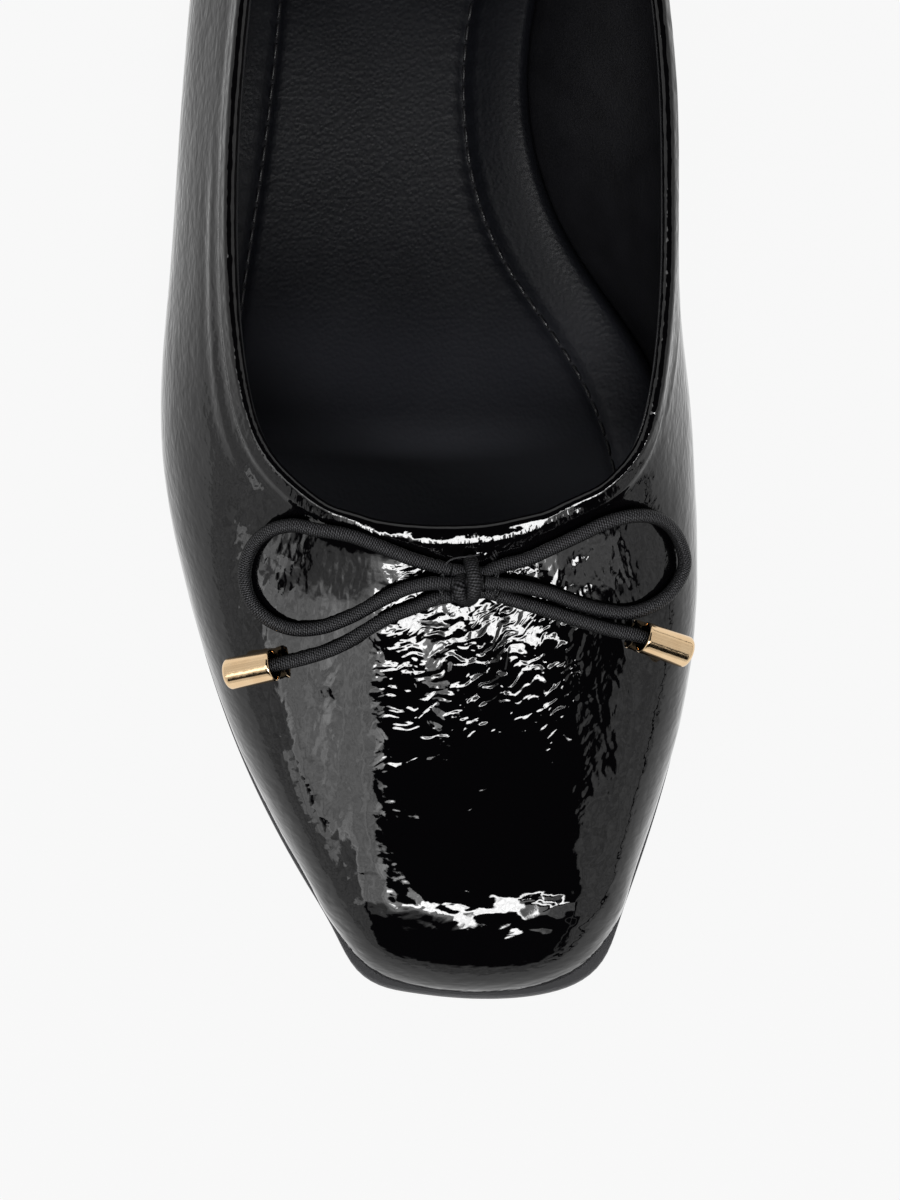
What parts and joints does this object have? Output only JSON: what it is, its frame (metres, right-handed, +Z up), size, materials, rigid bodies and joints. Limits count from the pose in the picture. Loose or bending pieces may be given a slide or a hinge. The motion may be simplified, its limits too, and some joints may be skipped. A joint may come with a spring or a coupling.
{
  "type": "womens ballet flat",
  "caption": "Black crinkled patent ballet flat with a square toe, low round throat, padded insole, low heel and a thin elastic cord bow with pale gold metal tips.",
  "frame": {"origin": "middle of the shoe's bounding box on the floor plane, under the resting sole", "axes": "+Y towards the heel, toe along -Y, +Z up, +X towards the arch side"},
  "size_m": [0.085, 0.252, 0.0639],
  "materials": {
    "patent": "gloss",
    "sole_rubber": "matte",
    "sock_leather": "satin",
    "elastic_cord": "matte",
    "pale_gold": "polished"
  },
  "bodies": {
    "root": {"outsole": "sole_rubber", "heel": "sole_rubber", "upper": "patent", "insole": "sock_leather", "bow_loop_left": "elastic_cord", "bow_loop_right": "elastic_cord", "bow_end_left": "elastic_cord", "bow_end_right": "elastic_cord", "bow_knot": "elastic_cord", "aglet_left": "pale_gold", "aglet_right": "pale_gold"}
  },
  "joints": []
}
